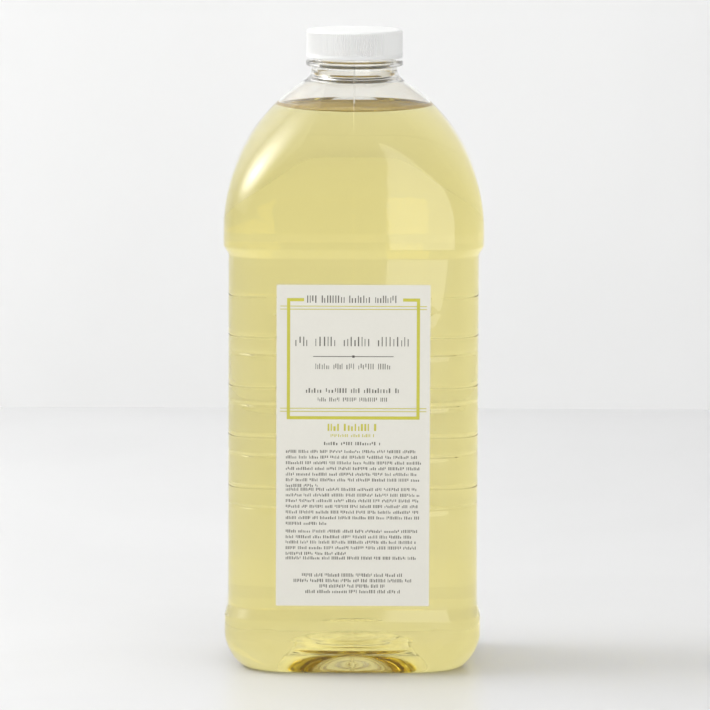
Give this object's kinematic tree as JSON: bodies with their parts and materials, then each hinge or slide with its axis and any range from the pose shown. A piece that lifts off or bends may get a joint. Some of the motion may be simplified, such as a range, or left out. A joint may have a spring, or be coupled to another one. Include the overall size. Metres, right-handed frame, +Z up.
{
  "type": "hand soap refill pack",
  "caption": "Clear plastic two-litre refill bottle of yellow liquid hand soap with a white ribbed screw cap and a plain framed front label.",
  "frame": {"origin": "middle of the base, on the surface the bottle stands on", "axes": "+Z up through the neck, the label faces -Y, +X to the viewer's right"},
  "size_m": [0.1106, 0.092, 0.272],
  "materials": {
    "clear_plastic": "gloss",
    "white_plastic": "satin",
    "white_foam": "matte foam",
    "yellow_soap": "clear liquid",
    "label_paper": "matte coated paper"
  },
  "bodies": {
    "bottle": {"bottle": "clear_plastic", "soap": "yellow_soap", "front_label": "label_paper"},
    "liner": {"cap_liner": "white_foam"},
    "cap": {"cap": "white_plastic"}
  },
  "joints": [
    {"name": "cap_lift", "type": "slide", "parent": "bottle", "child": "liner", "axis": [0, 0, 1], "range_m": [0, 0.0127]},
    {"name": "cap_turn", "type": "hinge", "parent": "liner", "child": "cap", "pos_m": [0, 0, 0.266], "axis": [0, 0, 1], "range_deg": [0, 1080]}
  ],
  "couplings": [
    {"joint": "cap_lift", "follows": "cap_turn", "m_per_rad": 0.00067322}
  ]
}
